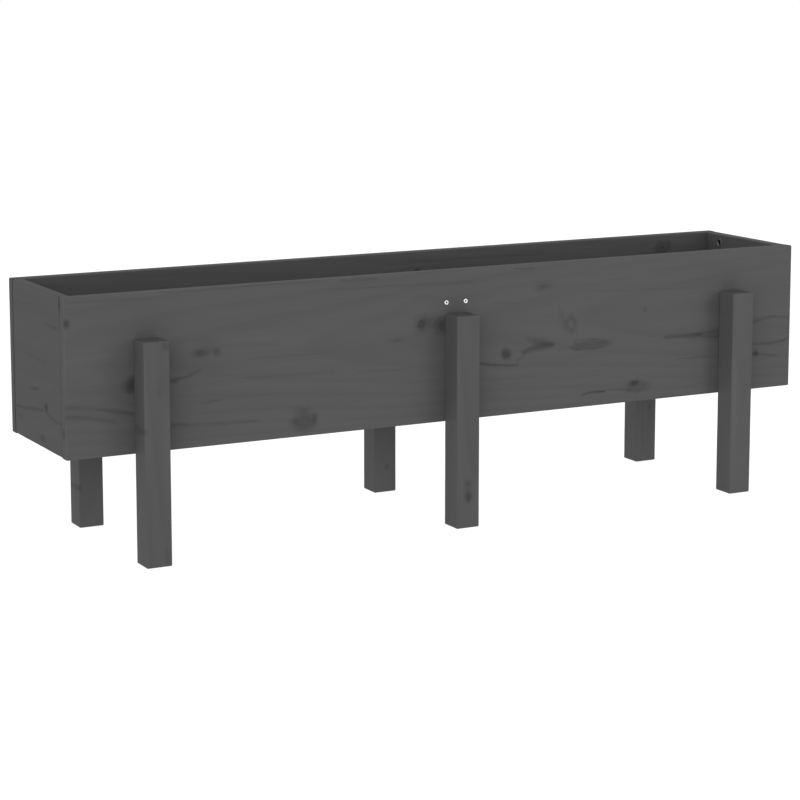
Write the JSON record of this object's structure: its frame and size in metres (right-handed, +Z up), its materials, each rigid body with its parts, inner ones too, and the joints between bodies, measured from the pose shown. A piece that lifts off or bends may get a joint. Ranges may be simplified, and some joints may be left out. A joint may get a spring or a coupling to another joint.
{
  "type": "raised planter on legs",
  "caption": "Long rectangular wooden trough planter with a slatted base, held off the ground by square legs screwed to its long sides.",
  "frame": {"origin": "on the ground under the middle of the trough, at the centre of the bounding box base", "axes": "+X along the trough to the right seen from the front, +Y from the front to the back, +Z up"},
  "size_m": [1.21, 0.3014, 0.3784],
  "materials": {
    "stained_pine": "planed pine with an even dark grey stain, matt, grain and knots showing faintly",
    "base_pine": "sawn and lightly planed pine with the same dark grey stain",
    "zinc_screw": "bright zinc-plated steel",
    "zinc_cam": "dull die-cast zinc and zinc-plated steel"
  },
  "bodies": {
    "root": {"front_board": "stained_pine", "front_ledger": "base_pine", "front_left_leg": "stained_pine", "front_left_leg_screw_lower": "zinc_screw", "front_left_leg_screw_upper": "zinc_screw", "front_middle_leg": "stained_pine", "front_middle_leg_screw_lower": "zinc_screw", "front_middle_leg_screw_upper": "zinc_screw", "front_right_leg": "stained_pine", "front_right_leg_screw_lower": "zinc_screw", "front_right_leg_screw_upper": "zinc_screw", "front_left_tie_screw": "zinc_screw", "front_right_tie_screw": "zinc_screw", "back_board": "stained_pine", "back_ledger": "base_pine", "back_left_leg": "stained_pine", "back_left_leg_screw_lower": "zinc_screw", "back_left_leg_screw_upper": "zinc_screw", "back_middle_leg": "stained_pine", "back_middle_leg_screw_lower": "zinc_screw", "back_middle_leg_screw_upper": "zinc_screw", "back_right_leg": "stained_pine", "back_right_leg_screw_lower": "zinc_screw", "back_right_leg_screw_upper": "zinc_screw", "back_left_tie_screw": "zinc_screw", "back_right_tie_screw": "zinc_screw", "left_end_board": "stained_pine", "left_front_cam_lower": "zinc_cam", "left_front_cam_bolt_lower": "zinc_cam", "left_front_cam_upper": "zinc_cam", "left_front_cam_bolt_upper": "zinc_cam", "left_back_cam_lower": "zinc_cam", "left_back_cam_bolt_lower": "zinc_cam", "left_back_cam_upper": "zinc_cam", "left_back_cam_bolt_upper": "zinc_cam", "right_end_board": "stained_pine", "right_front_cam_lower": "zinc_cam", "right_front_cam_bolt_lower": "zinc_cam", "right_front_cam_upper": "zinc_cam", "right_front_cam_bolt_upper": "zinc_cam", "right_back_cam_lower": "zinc_cam", "right_back_cam_bolt_lower": "zinc_cam", "right_back_cam_upper": "zinc_cam", "right_back_cam_bolt_upper": "zinc_cam", "cross_tie": "base_pine", "base_slat_01": "base_pine", "base_slat_02": "base_pine", "base_slat_03": "base_pine", "base_slat_04": "base_pine", "base_slat_05": "base_pine", "base_slat_06": "base_pine", "base_slat_07": "base_pine", "base_slat_08": "base_pine", "base_slat_09": "base_pine", "base_slat_10": "base_pine"}
  },
  "joints": []
}
